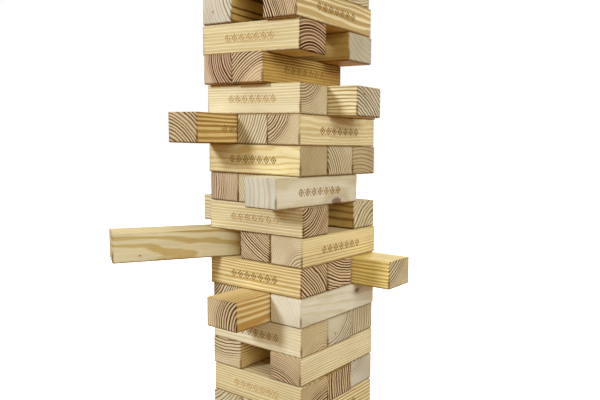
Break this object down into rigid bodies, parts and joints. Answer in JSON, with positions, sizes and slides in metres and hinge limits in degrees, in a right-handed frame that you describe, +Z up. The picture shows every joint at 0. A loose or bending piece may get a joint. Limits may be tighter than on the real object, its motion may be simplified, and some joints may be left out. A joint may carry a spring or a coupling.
{
  "type": "tumbling tower",
  "caption": "Tall stack of loose wooden blocks laid crosswise in courses, some drawn out or taken away; each block slides along its own length.",
  "frame": {"origin": "middle of the tower's foot, on the ground under the middle block of the lowest course", "axes": "+Z up the tower; blocks of the odd courses lie along Y, blocks of the even courses along X"},
  "size_m": [0.3709, 0.3337, 0.9057],
  "materials": {
    "pine_pale": "sanded bare pine, pale",
    "pine_golden": "sanded bare pine, golden",
    "pine_brown": "sanded bare pine, strong brown grain"
  },
  "bodies": {
    "foot_course": {"block_01_left": "pine_golden", "block_01_middle": "pine_pale", "block_01_right": "pine_golden"},
    "block_02_front": {"block_02_front": "pine_brown"},
    "block_02_middle": {"block_02_middle": "pine_golden"},
    "block_02_back": {"block_02_back": "pine_pale"},
    "block_03_left": {"block_03_left": "pine_pale"},
    "block_03_middle": {"block_03_middle": "pine_golden"},
    "block_03_right": {"block_03_right": "pine_golden"},
    "block_04_front": {"block_04_front": "pine_golden"},
    "block_04_middle": {"block_04_middle": "pine_brown"},
    "block_04_back": {"block_04_back": "pine_pale"},
    "block_05_left": {"block_05_left": "pine_golden"},
    "block_05_right": {"block_05_right": "pine_golden"},
    "block_06_front": {"block_06_front": "pine_golden"},
    "block_06_middle": {"block_06_middle": "pine_pale"},
    "block_06_back": {"block_06_back": "pine_brown"},
    "block_07_left": {"block_07_left": "pine_brown"},
    "block_07_middle": {"block_07_middle": "pine_brown"},
    "block_07_right": {"block_07_right": "pine_pale"},
    "block_08_front": {"block_08_front": "pine_golden"},
    "block_08_middle": {"block_08_middle": "pine_brown"},
    "block_08_back": {"block_08_back": "pine_golden"},
    "block_09_middle": {"block_09_middle": "pine_brown"},
    "block_09_right": {"block_09_right": "pine_golden"},
    "block_10_front": {"block_10_front": "pine_brown"},
    "block_10_middle": {"block_10_middle": "pine_golden"},
    "block_10_back": {"block_10_back": "pine_brown"},
    "block_11_left": {"block_11_left": "pine_brown"},
    "block_11_middle": {"block_11_middle": "pine_golden"},
    "block_11_right": {"block_11_right": "pine_pale"},
    "block_12_front": {"block_12_front": "pine_golden"},
    "block_12_middle": {"block_12_middle": "pine_golden"},
    "block_12_back": {"block_12_back": "pine_brown"},
    "block_13_left": {"block_13_left": "pine_brown"},
    "block_13_middle": {"block_13_middle": "pine_golden"},
    "block_13_right": {"block_13_right": "pine_pale"},
    "block_14_front": {"block_14_front": "pine_pale"},
    "block_14_middle": {"block_14_middle": "pine_pale"},
    "block_14_back": {"block_14_back": "pine_golden"},
    "block_15_left": {"block_15_left": "pine_brown"},
    "block_15_middle": {"block_15_middle": "pine_golden"},
    "block_16_front": {"block_16_front": "pine_golden"},
    "block_16_back": {"block_16_back": "pine_pale"},
    "block_17_left": {"block_17_left": "pine_pale"},
    "block_17_right": {"block_17_right": "pine_brown"},
    "block_18_front": {"block_18_front": "pine_golden"},
    "block_18_middle": {"block_18_middle": "pine_pale"},
    "block_18_back": {"block_18_back": "pine_golden"},
    "block_19_left": {"block_19_left": "pine_pale"},
    "block_19_middle": {"block_19_middle": "pine_brown"},
    "block_19_right": {"block_19_right": "pine_golden"},
    "block_20_middle": {"block_20_middle": "pine_golden"},
    "block_09_left": {"block_09_left": "pine_golden"}
  },
  "joints": [
    {"name": "slide_02_front", "type": "slide", "parent": "foot_course", "child": "block_02_front", "axis": [1, 0, 0], "range_m": [-0.2015, 0.1995]},
    {"name": "slide_02_middle", "type": "slide", "parent": "foot_course", "child": "block_02_middle", "axis": [1, 0, 0], "range_m": [-0.2005, 0.2005]},
    {"name": "slide_02_back", "type": "slide", "parent": "foot_course", "child": "block_02_back", "axis": [1, 0, 0], "range_m": [-0.2005, 0.2005]},
    {"name": "slide_03_left", "type": "slide", "parent": "foot_course", "child": "block_03_left", "axis": [-0.0035, -1, 0], "range_m": [-0.2005, 0.2005]},
    {"name": "slide_03_middle", "type": "slide", "parent": "foot_course", "child": "block_03_middle", "axis": [-0.0035, -1, 0], "range_m": [-0.2025, 0.1985]},
    {"name": "slide_03_right", "type": "slide", "parent": "foot_course", "child": "block_03_right", "axis": [-0.0035, -1, 0], "range_m": [-0.2045, 0.1965]},
    {"name": "slide_04_front", "type": "slide", "parent": "foot_course", "child": "block_04_front", "axis": [0.9999, -0.014, 0], "range_m": [-0.2065, 0.1945]},
    {"name": "slide_04_middle", "type": "slide", "parent": "foot_course", "child": "block_04_middle", "axis": [0.9999, -0.014, 0], "range_m": [-0.2055, 0.1955]},
    {"name": "slide_04_back", "type": "slide", "parent": "foot_course", "child": "block_04_back", "axis": [0.9999, -0.014, 0], "range_m": [-0.2015, 0.1995]},
    {"name": "slide_05_left", "type": "slide", "parent": "foot_course", "child": "block_05_left", "axis": [-0.007, -1, 0], "range_m": [-0.1985, 0.2025]},
    {"name": "slide_05_right", "type": "slide", "parent": "foot_course", "child": "block_05_right", "axis": [-0.007, -1, 0], "range_m": [-0.1995, 0.2015]},
    {"name": "slide_06_front", "type": "slide", "parent": "foot_course", "child": "block_06_front", "axis": [0.9999, -0.0122, 0], "range_m": [-0.2045, 0.1965]},
    {"name": "slide_06_middle", "type": "slide", "parent": "foot_course", "child": "block_06_middle", "axis": [0.9999, -0.0122, 0], "range_m": [-0.2035, 0.1975]},
    {"name": "slide_06_back", "type": "slide", "parent": "foot_course", "child": "block_06_back", "axis": [0.9999, -0.0122, 0], "range_m": [-0.2005, 0.2005]},
    {"name": "slide_07_left", "type": "slide", "parent": "foot_course", "child": "block_07_left", "axis": [-0.0087, -1, 0], "range_m": [-0.1985, 0.2025]},
    {"name": "slide_07_middle", "type": "slide", "parent": "foot_course", "child": "block_07_middle", "axis": [-0.0087, -1, 0], "range_m": [-0.2665, 0.1345]},
    {"name": "slide_07_right", "type": "slide", "parent": "foot_course", "child": "block_07_right", "axis": [-0.0087, -1, 0], "range_m": [-0.1995, 0.2015]},
    {"name": "slide_08_front", "type": "slide", "parent": "foot_course", "child": "block_08_front", "axis": [1, 0.0087, 0], "range_m": [-0.2005, 0.2005]},
    {"name": "slide_08_middle", "type": "slide", "parent": "foot_course", "child": "block_08_middle", "axis": [1, 0.0087, 0], "range_m": [-0.2015, 0.1995]},
    {"name": "slide_08_back", "type": "slide", "parent": "foot_course", "child": "block_08_back", "axis": [1, 0.0087, 0], "range_m": [-0.2745, 0.1265]},
    {"name": "slide_09_middle", "type": "slide", "parent": "foot_course", "child": "block_09_middle", "axis": [-0.0035, -1, 0], "range_m": [-0.1945, 0.2065]},
    {"name": "slide_09_right", "type": "slide", "parent": "foot_course", "child": "block_09_right", "axis": [-0.0035, -1, 0], "range_m": [-0.1965, 0.2045]},
    {"name": "slide_10_front", "type": "slide", "parent": "foot_course", "child": "block_10_front", "axis": [0.9995, 0.0314, 0], "range_m": [-0.1985, 0.2025]},
    {"name": "slide_10_middle", "type": "slide", "parent": "foot_course", "child": "block_10_middle", "axis": [0.9995, 0.0314, 0], "range_m": [-0.1145, 0.2865]},
    {"name": "slide_10_back", "type": "slide", "parent": "foot_course", "child": "block_10_back", "axis": [0.9995, 0.0314, 0], "range_m": [-0.2015, 0.1995]},
    {"name": "slide_11_left", "type": "slide", "parent": "foot_course", "child": "block_11_left", "axis": [-0.014, -0.9999, 0], "range_m": [-0.1975, 0.2035]},
    {"name": "slide_11_middle", "type": "slide", "parent": "foot_course", "child": "block_11_middle", "axis": [-0.014, -0.9999, 0], "range_m": [-0.1975, 0.2035]},
    {"name": "slide_11_right", "type": "slide", "parent": "foot_course", "child": "block_11_right", "axis": [-0.014, -0.9999, 0], "range_m": [-0.2455, 0.1555]},
    {"name": "slide_12_front", "type": "slide", "parent": "foot_course", "child": "block_12_front", "axis": [1, 0.0017, 0], "range_m": [-0.1995, 0.2015]},
    {"name": "slide_12_middle", "type": "slide", "parent": "foot_course", "child": "block_12_middle", "axis": [1, 0.0017, 0], "range_m": [-0.2005, 0.2005]},
    {"name": "slide_12_back", "type": "slide", "parent": "foot_course", "child": "block_12_back", "axis": [1, 0.0017, 0], "range_m": [-0.2005, 0.2005]},
    {"name": "slide_13_left", "type": "slide", "parent": "foot_course", "child": "block_13_left", "axis": [0, -1, 0], "range_m": [-0.2765, 0.1245]},
    {"name": "slide_13_middle", "type": "slide", "parent": "foot_course", "child": "block_13_middle", "axis": [0, -1, 0], "range_m": [-0.2005, 0.2005]},
    {"name": "slide_13_right", "type": "slide", "parent": "foot_course", "child": "block_13_right", "axis": [0, -1, 0], "range_m": [-0.2015, 0.1995]},
    {"name": "slide_14_front", "type": "slide", "parent": "foot_course", "child": "block_14_front", "axis": [1, 0.0052, 0], "range_m": [-0.1975, 0.2035]},
    {"name": "slide_14_middle", "type": "slide", "parent": "foot_course", "child": "block_14_middle", "axis": [1, 0.0052, 0], "range_m": [-0.2515, 0.1495]},
    {"name": "slide_14_back", "type": "slide", "parent": "foot_course", "child": "block_14_back", "axis": [1, 0.0052, 0], "range_m": [-0.2005, 0.2005]},
    {"name": "slide_15_left", "type": "slide", "parent": "foot_course", "child": "block_15_left", "axis": [0.0105, -0.9999, 0], "range_m": [-0.2085, 0.1925]},
    {"name": "slide_15_middle", "type": "slide", "parent": "foot_course", "child": "block_15_middle", "axis": [0.0105, -0.9999, 0], "range_m": [-0.2115, 0.1895]},
    {"name": "slide_16_front", "type": "slide", "parent": "foot_course", "child": "block_16_front", "axis": [0.999, 0.0454, 0], "range_m": [-0.1945, 0.2065]},
    {"name": "slide_16_back", "type": "slide", "parent": "foot_course", "child": "block_16_back", "axis": [0.9998, -0.0175, 0], "range_m": [-0.1915, 0.2095]},
    {"name": "slide_17_left", "type": "slide", "parent": "foot_course", "child": "block_17_left", "axis": [0.0175, -0.9998, 0], "range_m": [-0.2045, 0.1965]},
    {"name": "slide_17_right", "type": "slide", "parent": "foot_course", "child": "block_17_right", "axis": [0.0175, -0.9998, 0], "range_m": [-0.2065, 0.1945]},
    {"name": "slide_18_front", "type": "slide", "parent": "foot_course", "child": "block_18_front", "axis": [1, 0, 0], "range_m": [-0.1905, 0.2105]},
    {"name": "slide_18_middle", "type": "slide", "parent": "foot_course", "child": "block_18_middle", "axis": [1, 0, 0], "range_m": [-0.1885, 0.2125]},
    {"name": "slide_18_back", "type": "slide", "parent": "foot_course", "child": "block_18_back", "axis": [1, 0, 0], "range_m": [-0.1885, 0.2125]},
    {"name": "slide_19_left", "type": "slide", "parent": "foot_course", "child": "block_19_left", "axis": [-0.0105, -0.9999, 0], "range_m": [-0.2025, 0.1985]},
    {"name": "slide_19_middle", "type": "slide", "parent": "foot_course", "child": "block_19_middle", "axis": [-0.0105, -0.9999, 0], "range_m": [-0.2005, 0.2005]},
    {"name": "slide_19_right", "type": "slide", "parent": "foot_course", "child": "block_19_right", "axis": [-0.0105, -0.9999, 0], "range_m": [-0.2035, 0.1975]},
    {"name": "lift_20_middle", "type": "slide", "parent": "foot_course", "child": "block_20_middle", "axis": [0, 0, 1], "range_m": [0, 0.3]},
    {"name": "slide_09_left", "type": "slide", "parent": "foot_course", "child": "block_09_left", "axis": [-0.4985, -0.8669, 0], "range_m": [0, 0.05]}
  ]
}
